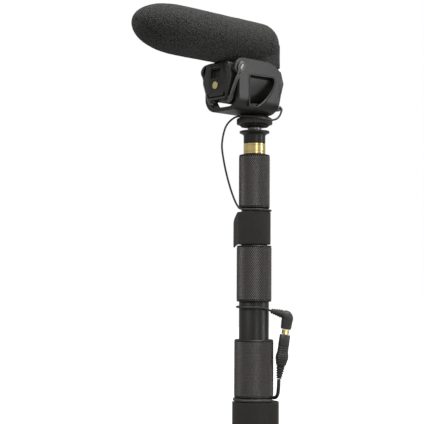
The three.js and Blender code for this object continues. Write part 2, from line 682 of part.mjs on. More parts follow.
add('ext_upper', cord(EXT_UPPER_ROUTE.map(aroundPole), CABLE_D, 40), cableRubber);
add('ext_lower', cord(EXT_LOWER_ROUTE.map(aroundPole), CABLE_D, 20), cableRubber);
add('ext_winding', extWinding(), cableRubber);
add('ext_tail', cord(EXT_TAIL_ROUTE.map(aroundPole), CABLE_D, 12), cableRubber);

const endPlug = new THREE.Group();
endPlug.position.copy(aroundPole([CABLE_SIDE, 21.4, 300]));
assembly.add(endPlug);

function extPlugBody() {
  return turned([[0, -31], [4.2, -31], [4.7, -26], [4.7, -13], [3.2, -10], [1.9, 0], [0, 0]], 20);
}

function extPlugPin() {
  return turned([
    [0, -48.5], [1, -48.5], [1.75, -47], [1.75, -34.3], [3, -34.3], [3, -31.3], [0, -31.3],
  ], 16);
}

add('ext_plug_body', extPlugBody(), rubber, endPlug);
add('ext_plug_pin', extPlugPin(), gold, endPlug);

export default assembly;
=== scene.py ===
"""Looks for the boom pole. Every piece is built where the CAD model has it.

Shapes are written in millimetres and become metres when their mesh is made. +Z runs up the pole and the
microphone faces -Y.
"""

import math

import bmesh
import bpy
from mathutils import Matrix, Vector, noise


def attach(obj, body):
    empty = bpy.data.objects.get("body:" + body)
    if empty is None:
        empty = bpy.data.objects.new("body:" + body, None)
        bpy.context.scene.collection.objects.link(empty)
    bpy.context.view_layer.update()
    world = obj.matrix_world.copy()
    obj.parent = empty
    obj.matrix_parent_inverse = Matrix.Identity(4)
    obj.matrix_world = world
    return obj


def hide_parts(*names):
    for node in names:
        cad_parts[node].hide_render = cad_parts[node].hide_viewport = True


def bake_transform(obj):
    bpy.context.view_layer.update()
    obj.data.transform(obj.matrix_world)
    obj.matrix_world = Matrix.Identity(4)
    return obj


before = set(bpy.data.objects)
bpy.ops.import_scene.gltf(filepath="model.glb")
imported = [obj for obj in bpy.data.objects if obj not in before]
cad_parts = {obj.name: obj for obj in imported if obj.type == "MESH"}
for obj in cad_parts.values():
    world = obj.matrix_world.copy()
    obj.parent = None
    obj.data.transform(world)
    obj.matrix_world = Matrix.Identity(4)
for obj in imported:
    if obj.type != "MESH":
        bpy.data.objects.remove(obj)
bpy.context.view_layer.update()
MM = 0.001
TAU = math.tau

# ---------------------------------------------------------------- camera
CAMERA_DISTANCE = 942.9  # from the pole's axis
CAMERA_HEIGHT = 620
LENS_MM = 95.3
CAMERA_PAN, CAMERA_TILT, CAMERA_ROLL = 2.16, 3.72, 0.33  # degrees


def new_object(name, data):
    made = bpy.data.objects.new(name, data)
    bpy.context.scene.collection.objects.link(made)
    return made


def turn_by(degrees, axis):
    return Matrix.Rotation(math.radians(degrees), 4, axis)


def make_camera():
    """From 45 degrees round, with the pole a little right of the middle."""
    data = bpy.data.cameras.new("camera")
    data.lens = LENS_MM
    data.sensor_width = 36
    data.clip_start = 0.05
    camera = new_object("camera", data)
    reach = CAMERA_DISTANCE * MM / math.sqrt(2)
    turn = turn_by(45 + CAMERA_PAN, "Z") @ turn_by(90 + CAMERA_TILT, "X") @ turn_by(CAMERA_ROLL, "Z")
    camera.matrix_world = Matrix.Translation((reach, -reach, CAMERA_HEIGHT * MM)) @ turn
    bpy.context.scene.camera = camera


make_camera()


# ---------------------------------------------------------------- materials
MATERIALS = {}


def feed(tree, socket, value):
    """Links the socket to another one, or sets it to a constant."""
    if isinstance(value, bpy.types.NodeSocket):
        tree.links.new(value, socket)
    else:
        socket.default_value = value


def add_node(tree, kind, inputs=None, **settings):
    made = tree.nodes.new(kind)
    for key, value in settings.items():
        setattr(made, key, value)
    for socket, value in (inputs or {}).items():
        feed(tree, made.inputs[socket], value)
    return made


def start_material(name, **constants):
    """Lists a new material with its shader's constants set. Returns its tree and the place on the piece."""
    MATERIALS[name] = bpy.data.materials.new(name)
    MATERIALS[name].use_nodes = True
    tree = MATERIALS[name].node_tree
    for socket, value in constants.items():
        feed(tree, tree.nodes["Principled BSDF"].inputs[socket.replace("_", " ")], value)
    return tree, add_node(tree, "ShaderNodeTexCoord").outputs["Object"]


def finish_material(tree, colour, height, strength, distance_mm, roughness=None):
    """Joins the colour, the bump and, where it varies, the roughness to the shader."""
    bump = {"Height": height, "Strength": strength, "Distance": distance_mm * MM}
    shader = tree.nodes["Principled BSDF"]
    feed(tree, shader.inputs["Base Color"], colour)
    feed(tree, shader.inputs["Normal"], add_node(tree, "ShaderNodeBump", bump).outputs["Normal"])
    if roughness is not None:
        feed(tree, shader.inputs["Roughness"], roughness)


def noise_node(tree, vector, scale, detail=4):
    inputs = {"Vector": vector, "Scale": scale, "Detail": detail, "Roughness": 0.55}
    return add_node(tree, "ShaderNodeTexNoise", inputs).outputs["Fac"]


def computed(tree, operation, first, second=0):
    return add_node(tree, "ShaderNodeMath", {0: first, 1: second}, operation=operation).outputs[0]


def ranged(tree, value, low, high, from_low=0.0, from_high=1.0):
    inputs = {"Value": value, "From Min": from_low, "From Max": from_high, "To Min": low, "To Max": high}
    return add_node(tree, "ShaderNodeMapRange", inputs).outputs["Result"]


def mixed(tree, factor, first, second):
    made = add_node(tree, "ShaderNodeMix", {"Factor": factor, 6: first, 7: second}, data_type="RGBA")
    return made.outputs[2]


def grey(level, warmth=0.0):
    return (level * (1 + warmth), level, level * (1 - warmth), 1)


def plastic(name, level, roughness, warmth=0.02, grain_mm=0.35, edge=1.9, **constants):
    """Moulded plastic: a fine spark-eroded grain, uneven gloss, and edges painted lighter, partly as rubbed
    wear and partly as painted highlight.
    """
    tree, at = start_material(name, **constants)
    cloud = noise_node(tree, at, 90)
    grain = noise_node(tree, at, 1 / (grain_mm * MM), 2)
    base = mixed(tree, cloud, grey(level * 0.85, warmth), grey(level * 1.15, warmth))
    pointed = add_node(tree, "ShaderNodeNewGeometry").outputs["Pointiness"]
    # Sharp edges are painted lighter: partly rubbed wear, partly a painted highlight where light catches
    # them.
    worn = ranged(tree, pointed, 0, 1, 0.515, 0.58)
    colour = mixed(tree, worn, base, grey(min(level * edge, 1), warmth))
    finish_material(tree, colour, grain, 0.35, 0.06, ranged(tree, cloud, roughness - 0.06, roughness + 0.08))


def metal(name, base, roughness, lines=(0, 0, 900), **constants):
    """Machined or anodised metal: faint turning lines round the axis and handling marks in the gloss."""
    tree, at = start_material(name, **constants)
    stretched = add_node(tree, "ShaderNodeVectorMath", {0: at, 1: lines}, operation="MULTIPLY").outputs[0]
    turning = noise_node(tree, stretched, 1, 3)
    marks = noise_node(tree, at, 60, 5)
    colour = mixed(tree, marks, tuple(c * 0.85 for c in base[:3]) + (1,), base)
    both = computed(tree, "MULTIPLY", turning, marks)
    gloss = ranged(tree, both, roughness - 0.06, roughness + 0.1, 0.1, 0.5)
    finish_material(tree, colour, turning, 0.12, 0.02, gloss)


def knurled_metal(name):
    """Black anodised metal, painted a lighter grey on the crests of the knurl as a painted highlight."""
    tree, at = start_material(name, Metallic=0.55, Specular_IOR_Level=0.5)
    marks = noise_node(tree, at, 80, 5)
    base = mixed(tree, marks, grey(0.018, 0.1), grey(0.03, 0.1))
    crest = add_node(tree, "ShaderNodeAttribute", attribute_name="crest").outputs["Fac"]
    # The crests are painted light grey: a painted highlight where light catches the knurl.
    colour = mixed(tree, crest, base, grey(0.17, 0.07))
    finish_material(tree, colour, marks, 0.1, 0.02, ranged(tree, marks, 0.34, 0.46))


def open_cell_foam(name):
    """Pores painted dark between lighter cell walls as painted shade in the hollows, a finer grain inside,
    and a soft sheen.
    """
    looks = {"Roughness": 0.95, "Specular_IOR_Level": 0.1, "Sheen_Weight": 0.12, "Sheen_Roughness": 0.5}
    tree, at = start_material(name, **looks)
    cells = add_node(tree, "ShaderNodeTexVoronoi", {"Vector": at, "Scale": 1050}).outputs["Distance"]
    pores = ranged(tree, cells, 1, 0, 0.1, 0.75)
    base = mixed(tree, noise_node(tree, at, 38), grey(0.056, 0.04), grey(0.09, 0.04))
    # The pores are painted near black: painted shade in the foam's hollows.
    colour = mixed(tree, pores, grey(0.012, 0.02), base)
    finish_material(tree, colour, computed(tree, "ADD", pores, noise_node(tree, at, 3200, 3)), 0.9, 0.5)


def woven_nylon(name):
    """Warp and weft bands along the strap's own length and width, from its UV map in metres."""
    looks = {"Roughness": 0.85, "Specular_IOR_Level": 0.15, "Sheen_Weight": 0.1, "Sheen_Roughness": 0.4}
    tree, at = start_material(name, **looks)
    along = add_node(tree, "ShaderNodeUVMap", uv_map="weave").outputs["UV"]
    split = add_node(tree, "ShaderNodeSeparateXYZ", {"Vector": along})
    bands = []
    for axis, pitch_mm in (("X", 0.9), ("Y", 0.65)):
        turns = computed(tree, "MULTIPLY", split.outputs[axis], math.pi / (pitch_mm * MM))
        bands.append(computed(tree, "SINE", turns))
    height = ranged(tree, computed(tree, "MULTIPLY", *bands), 0, 1, -1, 1)
    base = mixed(tree, noise_node(tree, at, 220, 5), grey(0.034, 0.08), grey(0.054, 0.08))
    # The weave's low places are painted darker: painted shade between the yarns.
    finish_material(tree, mixed(tree, height, grey(0.02, 0.06), base), height, 0.7, 0.18)


def circuit_board(name):
    tree, at = start_material(name, Roughness=0.35, Coat_Weight=0.4)
    traces = add_node(tree, "ShaderNodeTexBrick", {"Vector": at, "Scale": 320}).outputs["Fac"]
    base = mixed(tree, noise_node(tree, at, 200), (0.01, 0.09, 0.035, 1), (0.02, 0.14, 0.06, 1))
    finish_material(tree, mixed(tree, traces, base, (0.05, 0.22, 0.1, 1)), traces, 0.3, 0.05)


def battery_can(name):
    """A metal can with a printed dark jacket, a lighter band round its foot and bare terminals."""
    tree, at = start_material(name, Metallic=0.3)
    y = add_node(tree, "ShaderNodeSeparateXYZ", {"Vector": at}).outputs["Y"]
    scuffs = noise_node(tree, at, 350, 5)
    colour = mixed(tree, scuffs, (0.012, 0.016, 0.024, 1), (0.03, 0.036, 0.05, 1))
    colour = mixed(tree, computed(tree, "LESS_THAN", y, -0.026), colour, (0.42, 0.3, 0.08, 1))
    colour = mixed(tree, computed(tree, "GREATER_THAN", y, 0.0064), colour, (0.6, 0.6, 0.58, 1))
    finish_material(tree, colour, scuffs, 0.15, 0.03, ranged(tree, scuffs, 0.25, 0.5))


def clear_lamp(name):
    tree, at = start_material(name, Roughness=0.15, Transmission_Weight=0.4, IOR=1.49)
    swirl = noise_node(tree, at, 700, 3)
    finish_material(tree, mixed(tree, swirl, (0.2, 0.5, 0.12, 1), (0.32, 0.65, 0.2, 1)), swirl, 0.1, 0.02)


metal("anodised_tube", grey(0.011, 0.1), 0.36, Specular_IOR_Level=0.45)
knurled_metal("knurled_lock")
metal("satin_black_metal", grey(0.018, 0.1), 0.34, Metallic=0.2)
metal("gold_metal", (1.0, 0.8, 0.36, 1), 0.22, lines=(0, 0, 300), Metallic=1.0)
metal("steel", grey(0.22), 0.35, Metallic=1.0)
plastic("black_plastic", 0.015, 0.33, warmth=0.06, edge=3.6, Specular_IOR_Level=0.5)
plastic("wheel_plastic", 0.022, 0.42, warmth=0.08, edge=3, Specular_IOR_Level=0.4)
plastic("grey_plastic", 0.16, 0.45, edge=1.4)
plastic("nylon", 0.68, 0.5, edge=1.1, Subsurface_Weight=0.1)
plastic("rubber", 0.026, 0.5, warmth=0.04, grain_mm=0.25, edge=1.7)
plastic("elastic_band", 0.085, 0.36, grain_mm=0.5, edge=1.8)
plastic("peg_plastic", 0.42, 0.4, edge=1.3)
plastic("cable_jacket", 0.024, 0.4, warmth=0.05, grain_mm=0.3, edge=1.3)
open_cell_foam("foam")
woven_nylon("webbing")
circuit_board("circuit_board")
battery_can("battery_can")
clear_lamp("lamp")


# ---------------------------------------------------------------- shapes
def edit_mesh(obj, change):
    bm = bmesh.new()
    bm.from_mesh(obj.data)
    change(bm)
    bm.to_mesh(obj.data)
    bm.free()


def solid(name, *shapes):
    """One object from (verts, faces) shapes in millimetres, with its faces pointing out."""
    verts, faces = [], []
    for shape_verts, shape_faces in shapes:
        offset = len(verts)
        verts.extend(tuple(c * MM for c in v) for v in shape_verts)
        faces.extend(tuple(i + offset for i in face) for face in shape_faces)
    mesh = bpy.data.meshes.new(name)
    mesh.from_pydata(verts, [], faces)
    made = new_object(name, mesh)
    edit_mesh(made, lambda bm: bmesh.ops.recalc_face_normals(bm, faces=bm.faces))
    return made


def shade(obj, degrees):
    """Smooth faces, with edges sharper than that kept crisp."""

    def smooth(bm):
        for face in bm.faces:
            face.smooth = True
        for edge in bm.edges:
            edge.smooth = len(edge.link_faces) == 2 and edge.calc_face_angle(0) < math.radians(degrees)

    edit_mesh(obj, smooth)


def add_modifier(obj, kind, **settings):
    modifier = obj.modifiers.new(kind.lower(), kind)
    for key, value in settings.items():
        setattr(modifier, key, value)


def apply_modifiers(obj):
    bpy.context.view_layer.update()
    evaluated = obj.evaluated_get(bpy.context.evaluated_depsgraph_get())
    finished = bpy.data.meshes.new_from_object(evaluated)
    obj.modifiers.clear()
    obj.data = finished
    return obj


def bevelled(obj, width, segments=2):
    limits = {"limit_method": "ANGLE", "angle_limit": math.radians(30)}
    add_modifier(obj, "BEVEL", width=width * MM, segments=segments, **limits)
    return apply_modifiers(obj)


def cut(obj, shape, operation="DIFFERENCE", bevel=0, segments=2):
    """Cuts, joins or crosses the object with a shape, whose own edges can be bevelled first."""
    cutter = solid("cutter", shape)
    if bevel:
        bevelled(cutter, bevel, segments)
    add_modifier(obj, "BOOLEAN", operation=operation, solver="EXACT", object=cutter)
    apply_modifiers(obj)
    bpy.data.objects.remove(cutter)


def melted(obj, voxel, rounds, keep):
    """Rounds every edge as a mould does: remeshed in small cubes, smoothed, then thinned out."""
    add_modifier(obj, "REMESH", mode="VOXEL", voxel_size=voxel * MM)
    add_modifier(obj, "SMOOTH", factor=0.5, iterations=rounds)
    add_modifier(obj, "DECIMATE", ratio=keep)
    return apply_modifiers(obj)


def paint(mesh, material):
    mesh.materials.clear()
    mesh.materials.append(MATERIALS[material])


def dress(obj, material, body, *replaced, angle=32):
    """Gives a piece its material and its body, and hides the CAD nodes that it stands for."""
    paint(obj.data, material)
    shade(obj, angle)
    if replaced:
        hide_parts(*replaced)
    if body:
        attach(obj, body)


def rows_of(count, columns):
    """The vertex numbers of a grid, row by row."""
    return [list(range(j * columns, (j + 1) * columns)) for j in range(count)]


def joined(rows):
    """Faces between neighbouring rings of vertex numbers: quads, or triangles next to a point."""
    faces = []
    for low, high in zip(rows, rows[1:]):
        for corners in zip(low, low[1:] + low[:1], high[1:] + high[:1], high):
            faces.append(tuple(dict.fromkeys(corners)))
    return [face for face in faces if len(face) > 2]


def circle(radii, z):
    """Points round the pole's axis, one at each of the radii."""
    turns = [TAU * i / len(radii) for i in range(len(radii))]
    return [(r * math.cos(turn), r * math.sin(turn), z) for r, turn in zip(radii, turns)]


def turned(profile, sides=96):
    """Turned about the pole's axis from [radius, z] points that close on the axis or on themselves."""
    verts, rows = [], []
    for r, z in profile:
        count = sides if r else 1
        rows.append(list(range(len(verts), len(verts) + count)) * (sides // count))
        verts += circle([r] * count, z)
    if profile[0][0]:
        rows.append(rows[0])
    return verts, joined(rows)


def softened(profile, radius, closed=True):
    """The profile with each of its corners turned into a small arc of three points."""
    count = len(profile)
    result = []
    for i, (r, z) in enumerate(profile):
        if not closed and i in (0, count - 1):
            result.append((r, z))
            continue
        corner = Vector((r, z))
        before = Vector(profile[i - 1]) - corner
        after = Vector(profile[(i + 1) % count]) - corner
        size = min(radius, before.length * 0.45, after.length * 0.45)
        start, end = corner + before.normalized() * size, corner + after.normalized() * size
        result += [tuple(point) for point in (start, (start + end) * 0.3 + corner * 0.4, end)]
    return result


def ring(inner, outer, low, high, soft=0.3, sides=96):
    return turned(softened([(inner, low), (outer, low), (outer, high), (inner, high)], soft), sides)


def prism(points, axis, low, high):
    """An outline extruded along one axis. The outline gives the other two, in X, Y, Z order."""
    places = {"X": lambda a, b, c: (c, a, b), "Y": lambda a, b, c: (a, c, b), "Z": lambda a, b, c: (a, b, c)}
    verts = [places[axis](a, b, c) for c in (low, high) for a, b in points]
    count = len(points)
    faces = [tuple(range(count)), tuple(range(2 * count - 1, count - 1, -1))]
    faces += [(i, i + count, (i + 1) % count + count, (i + 1) % count) for i in range(count)]
    return verts, faces


def box(x0, x1, y0, y1, z0, z1):
    return prism([(x0, y0), (x1, y0), (x1, y1), (x0, y1)], "Z", z0, z1)


def moved(shape, matrix):
    verts, faces = shape
    return [tuple(matrix @ Vector(v)) for v in verts], faces


def curve_through(points, step):
    """Centripetal Catmull-Rom through the points, cut into even steps: the curve that the CAD model uses."""

    def between(first, second, start, end):
        return first * ((end - s) / (end - start)) + second * ((s - start) / (end - start))

    pts = [Vector(p) for p in points]
    pts = [pts[0] * 2 - pts[1]] + pts + [pts[-1] * 2 - pts[-2]]
    fine = []
    for i in range(1, len(pts) - 2):
        t = [0.0]
        for a, b in zip(pts[i - 1 : i + 2], pts[i : i + 3]):
            t.append(t[-1] + max((b - a).length ** 0.5, 1e-4))
        for k in range(16):
            s = t[1] + (t[2] - t[1]) * k / 16
            a = [between(pts[i - 1 + j], pts[i + j], t[j], t[j + 1]) for j in range(3)]
            b = [between(a[j], a[j + 1], t[j], t[j + 2]) for j in range(2)]
            fine.append(between(*b, t[1], t[2]))
    fine.append(pts[-2])
    return evenly(fine, step)


def evenly(points, step):
    lengths = [0.0]
    for a, b in zip(points, points[1:]):
        lengths.append(lengths[-1] + (b - a).length)
    count = max(2, round(lengths[-1] / step))
    result, k = [], 0
    for i in range(count + 1):
        target = lengths[-1] * i / count
        while k < len(points) - 2 and lengths[k + 1] < target:
            k += 1
        span = lengths[k + 1] - lengths[k]
        result.append(points[k].lerp(points[k + 1], (target - lengths[k]) / span if span else 0))
    return result


def path_length(points):
    return sum((b - a).length for a, b in zip(points, points[1:]))


def tube(points, radii, sides=16, closed=False):
    """A tube of changing radius along a path, with a frame carried along it and flat ends."""
    points = [Vector(p) for p in points]
    count = len(points)
    radii = [radii] * count if isinstance(radii, (int, float)) else radii
    tangents = []
    for i in range(count):
        before = points[i - 1] if closed or i else points[0]
        after = points[(i + 1) % count] if closed or i < count - 1 else points[-1]
        tangents.append((after - before).normalized())
    normal = tangents[0].orthogonal().normalized()
    verts = []
    for i in range(count):
        normal = (normal - tangents[i] * normal.dot(tangents[i])).normalized()
        side = tangents[i].cross(normal)
        for k in range(sides):
            angle = TAU * k / sides
            verts.append(tuple(points[i] + (normal * math.cos(angle) + side * math.sin(angle)) * radii[i]))
    rows = rows_of(count, sides)
    if closed:
        return verts, joined(rows + rows[:1])
    return verts, joined(rows) + [tuple(reversed(rows[0])), tuple(rows[-1])]


def around_pole(degrees, radius, z):
    angle = math.radians(degrees)
    return (radius * math.cos(angle), radius * math.sin(angle), z)


# ---------------------------------------------------------------- cords
LEAD_D = 1.65
CABLE_D = 2.95
CABLE_SIDE = 50  # degrees round the pole
CLIP_Y, CLIP_Z = 11.1, 768.5  # the hole in the cable clip
LEAD_UPPER_ROUTE = [
    (30, 22.2, 768.5), (28.5, 23.4, 768.3), (26.5, 24, 767), (24.5, 23.7, 764.6), (20.5, 22.9, 761.4),
    (13, 21.4, 758.6), (-2.5, 18.9, 757.3), (-23, 17.6, 758.4), (-50, 17.1, 760), (-76, 17.6, 760.7),
    (-100, 19.3, 760.2), (-109, 22, 757.8), (-113.5, 24.7, 754.3), (-116, 26.6, 749.5), (-118.5, 28.4, 737.3),
    (-119.8, 26.8, 725), (-119.5, 22.6, 706.8), (-118.5, 17.6, 692), (-116, 14.9, 686.4), (-105, 13.9, 683.9),
    (-80, 13.8, 683.2), (-45, 13.8, 682.9), (-10, 13.8, 682.8), (30, 13.9, 682.6), (70, 14, 682.5),
    (105, 14.6, 682.8), (122, 15.4, 682.3), (133, 15.75, 678.8), (135, 15.75, 673), (135, 15.75, 667.2),
]
LEAD_LOWER_ROUTE = [
    (135, 15.75, 666.9), (135, 15.75, 660), (135, 15.75, 645), (135, 15.75, 628), (135, 15.75, 613),
    (138, 15.7, 608), (150, 15.3, 604.4), (175, 14.7, 602.6), (205, 14.4, 602), (240, 14.35, 601.8),
    (275, 14.35, 601.7), (310, 14.3, 601.7), (335, 14.2, 601.6), (352, 13.95, 601.2), (365, 13.85, 600.4),
    (375, 14.25, 599.6), (381, 14.95, 599),
]
EXT_UPPER_ROUTE = [
    (34.1, 21.2, 542.4), (35, 21, 538), (37.5, 20.6, 533.5), (42, 20, 529.8), (50, 19, 527.4),
    (62, 18.4, 526.3), (80, 17.9, 525.8), (100, 17.3, 525.6), (125, 16.7, 525.4), (150, 16.4, 525.3),
    (180, 16.1, 525.3), (225, 16, 525.3), (270, 16, 525.3), (315, 16, 525.3), (345, 16.1, 525.3),
    (366, 16.4, 525.2), (384, 16.9, 524), (396, 17, 520.5), (403, 16.9, 515.5), (405, 16.8, 510.3),
]
EXT_LOWER_ROUTE = [(45, 16.8, 510), (46, 16.8, 504), (47, 17.1, 497), (48, 18.3, 491)] + [
    (CABLE_SIDE, r, z)
    for r, z in ((19.8, 486), (20.3, 479), (20.3, 465), (20.3, 448), (20.2, 436), (19.2, 431), (17.8, 426.2))
]
EXT_TAIL_ROUTE = [
    (CABLE_SIDE, r, z) for r, z in ((17.6, 341), (17.9, 332), (18.6, 320), (19.6, 310), (21, 300.3))
]
WINDING_TOP = 425.8
WINDING_TURNS = 25
WINDING_PITCH = 3.05
WINDING_RADIUS = 17.62


def make_cord(name, points, diameter, nodes):
    """A cord along a path of points, as long as the path."""
    piece = solid(name, tube(points, diameter / 2, 12))
    dress(piece, "cable_jacket", None, *nodes)
    return piece


def winding_path():
    """Down the pole in close turns, starting and ending on the side that the cable runs down."""
    points = [around_pole(CABLE_SIDE, 17.8, 425.9)]
    steps = 30 * WINDING_TURNS
    for i in range(2, steps - 1):
        turns = i / steps * (WINDING_TURNS - 1)
        z = WINDING_TOP - WINDING_PITCH / 2 - turns * WINDING_PITCH
        points.append(around_pole(CABLE_SIDE + 360 * WINDING_TURNS * i / steps, WINDING_RADIUS, z))
    points += [around_pole(*p) for p in EXT_TAIL_ROUTE]
    return curve_through(points, CABLE_D * 0.9)


def make_cords():
    for node, route, diameter, far_end, lay, lower, upper, ends in (
        ("lead_upper", LEAD_UPPER_ROUTE, LEAD_D, "object", "loose", "section_2", "section_1", (0.688, 0.757)),
        ("lead_lower", LEAD_LOWER_ROUTE, LEAD_D, "plug", "taut", "section_3", "section_2", (0.606, 0.655)),
        ("ext_upper", EXT_UPPER_ROUTE, CABLE_D, "object", "loose", "section_4", "section_3", (0.528, 0.541)),
        ("ext_lower", EXT_LOWER_ROUTE, CABLE_D, "object", "taut", "handle", "section_4", (0.434, 0.495)),
    ):
        path = curve_through([around_pole(*p) for p in route], diameter * 0.8)
        piece = make_cord(f"{node}_cord", path, diameter, [node])
        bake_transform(piece)
    wound = make_cord(
        "ext_winding_cord", winding_path(), CABLE_D, ["ext_winding", "ext_tail"],
    )
    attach(wound, "handle")
    tail = [(4, 15.4, 771.4), (4.8, 15.3, 769.4), (7.8, 14, 768.6), (12.4, CLIP_Y, CLIP_Z)]
    pigtail = solid("mic_lead_tail_cord", tube(curve_through(tail, 0.8), LEAD_D / 2, 12))
    dress(pigtail, "cable_jacket", None, "mic_lead_tail")
    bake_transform(pigtail)


make_cords()


# ---------------------------------------------------------------- pole
TUBE_OD = {1: 18.4, 2: 21.7, 3: 25, 4: 28.3, 5: 31.6}
TUBE_SPAN = {1: (74.1, 729.7), 2: (32.7, 713.5), 3: (-45.5, 637.1), 4: (-136.4, 558.9), 5: (-184, 468)}
# Diameter, top and length of each lock collar
LOCKS = {1: (26.2, 729.5, 45.2), 2: (29.4, 653.1, 46.8), 3: (32.9, 574.9, 47.9), 4: (36.3, 484, 50)}
TUBE_WALL = 1.2
SLIDE_GAP = 0.35  # between a tube and the bore that it passes through
THREAD_BORE = 5.1  # radius of the hole for the thread stud


def make_tubes():
    for number, od in TUBE_OD.items():
        body = "handle" if number == 5 else f"section_{number}"
        piece = solid(f"{body}_tube_drawn", ring(od / 2 - TUBE_WALL, od / 2, *TUBE_SPAN[number], 0.25))
        dress(piece, "anodised_tube", body, f"{body}_tube")


KNURL_ROUND = 0.85  # half a diamond round the collar
KNURL_ALONG = 1.15  # half a diamond along it
KNURL_DEPTH = 0.4
KNURL_RIM = 1.3  # the plain rim at each end


def knurled_collar(number):
    """A collar cut all over with small diamonds, between two plain chamfered rims."""
    diameter, top, whole = LOCKS[number]
    radius, bottom = diameter / 2, top - whole
    edge, face = radius - 0.1, radius - 0.75
    bore, mouth = TUBE_OD[number + 1] / 2 + SLIDE_GAP, TUBE_OD[number] / 2 + 0.4
    columns = 2 * round(TAU * radius / KNURL_ROUND / 2)
    length = top - bottom - 2 * KNURL_RIM
    rows = 2 * round(length / KNURL_ALONG / 2)
    profile = [(bore, bottom + 0.3), (bore + 0.3, bottom), (face, bottom), (edge, bottom + 0.65)]
    profile += [(edge, bottom + KNURL_RIM - 0.25)]
    first = len(profile)
    profile += [(None, bottom + KNURL_RIM + length * j / rows) for j in range(rows + 1)]
    profile += [(edge, top - KNURL_RIM + 0.25), (edge, top - 0.65), (face, top)]
    profile += [(mouth + 0.3, top), (mouth, top - 0.3), (mouth, top - 3), (bore, top - 3)]
    verts = []
    for j, (r, z) in enumerate(profile):
        raised = first < j < first + rows
        crests = [radius if raised and (i + j - first) % 2 else radius - KNURL_DEPTH for i in range(columns)]
        verts += circle(crests if r is None else [r] * columns, z)
    rings = rows_of(len(profile), columns)
    faces = []
    for place, (a, b, c, d) in enumerate(joined(rings + rings[:1])):
        j, i = divmod(place, columns)
        if not first <= j < first + rows:
            faces.append((a, b, c, d))
        elif (i + j - first) % 2:
            faces += [(a, b, d), (b, c, d)]
        else:
            faces += [(a, b, c), (a, c, d)]
    return verts, faces


def make_collars():
    for number, (diameter, _, _) in LOCKS.items():
        piece = solid(f"lock_collar_{number}_knurled", knurled_collar(number))
        # Marks the knurl's crests, which the knurled_lock material paints lighter as a painted highlight.
        crest = piece.data.attributes.new("crest", "FLOAT", "POINT")
        for vertex in piece.data.vertices:
            crest.data[vertex.index].value = float(vertex.co.xy.length / MM > diameter / 2 - 0.02)
        dress(piece, "knurled_lock", f"lock_{number}", f"lock_collar_{number}", angle=12)


def make_butt():
    outer = TUBE_OD[5] / 2 + 1.6
    profile = [(0, -189.2), (6, -189.2), (7, -190), (outer - 1.2, -190), (outer - 0.3, -189.7)]
    profile += [(outer, -188.8)]
    for i in range(6):
        z = -186.5 + i * 2.6
        profile += [(outer, z), (outer - 0.6, z + 0.3), (outer - 0.6, z + 1), (outer, z + 1.3)]
    profile += [(outer, -168.8), (outer - 0.5, -168), (16.15, -168), (16.15, -184.3), (14.25, -184.3)]
    profile += [(14.25, -179.3), (0, -179.3)]
    dress(solid("butt_cap_ribbed", turned(profile)), "rubber", "handle", "butt_cap")


def make_tip():
    gold = [(7.9, 730), (8.7, 730), (9.2, 730.4), (9.2, 731.6), (9.02, 731.8), (9.02, 732.1), (9.2, 732.3)]
    gold += [(9.2, 737), (9.02, 737.2), (9.02, 737.5), (9.2, 737.7), (9.2, 738.9), (8.7, 739.3), (7.9, 739.3)]
    dress(solid("tip_ring_gold", turned(gold)), "gold_metal", "section_1", "tip_ring")
    fitting = [(0, 705), (7.6, 705), (7.6, 739.6), (9.2, 739.6), (9.2, 745.2), (9.5, 746.5), (10.6, 747.3)]
    fitting += [(12.65, 748.2), (12.65, 749.5), (12.3, 749.8), (5.4, 749.8)]
    fitting += [(THREAD_BORE, 749.5), (THREAD_BORE, 715), (0, 715)]
    piece = solid("tip_fitting_turned", turned(softened(fitting, 0.2, False)))
    dress(piece, "satin_black_metal", "section_1", "tip_fitting")


# ---------------------------------------------------------------- shoe
def make_shoe():
    foot = [(-9.3, -9.3), (9.3, -9.3), (9.3, 9.3), (-9.3, 9.3)]
    lower = [(a * 0.82, b * 0.82) for a, b in foot]
    verts, faces = prism(foot, "Z", 752.75, 755)
    verts = [(a, b, 752.75) for a, b in lower] + verts[4:]
    plate = bevelled(solid("shoe_foot_plate", (verts, faces)), 0.35, 3)
    cut(plate, ring(THREAD_BORE, 7.2, 754.8, 762.5, 0.2, 64), "UNION")
    cut(plate, turned([(0, 750), (THREAD_BORE, 750), (THREAD_BORE, 760), (0, 760)], 64))
    dress(plate, "satin_black_metal", "section_1", "shoe_foot")
    dress(solid("shoe_wheel_ribbed", ribbed_wheel()), "wheel_plastic", "wheel", "shoe_wheel", angle=50)


def ribbed_wheel():
    """A thumb wheel: a rim of narrow upright ribs under a shallow cone."""
    ribs, depth = 58, 0.55
    columns = 6 * ribs
    profile = [(7.5, 755.6, 0), (7.9, 755.3, 0), (13.9, 755.3, 0.1), (14.75, 755.55, 0.8), (15.1, 756, 1)]
    profile += [(15.1, 759.7, 1), (14.7, 760.3, 0.7), (13.6, 760.9, 0.15), (12.2, 761.8, 0)]
    profile += [(11.6, 762.5, 0), (7.9, 762.5, 0), (7.5, 762.2, 0)]
    waves = [0.5 - 0.5 * math.cos(TAU * i * ribs / columns) for i in range(columns)]
    verts = []
    for r, z, share in profile:
        verts += circle([r - share * depth * wave for wave in waves], z)
    rings = rows_of(len(profile), columns)
    return verts, joined(rings + rings[:1])


# ---------------------------------------------------------------- cradle
ARM_INNER, ARM_OUTER, ARM_TOP = 17.5, 20.5, 805.3
CRADLE_FRONT, CRADLE_REAR = -38, 9
PEG_Y, PEG_Z = -36.4, 797


def arc(cx, cz, radius, start, end, steps=14):
    turns = [math.radians(start + (end - start) * i / steps) for i in range(steps + 1)]
    return [(cx + radius * math.cos(turn), cz + radius * math.sin(turn)) for turn in turns]


def bend(start, control, end, steps=12):
    """A quadratic curve, without its first point."""
    result = []
    for i in range(1, steps + 1):
        t = i / steps
        shares = ((1 - t) ** 2, 2 * t * (1 - t), t * t)
        result.append(tuple(sum(a * b for a, b in zip(shares, axis)) for axis in zip(start, control, end)))
    return result


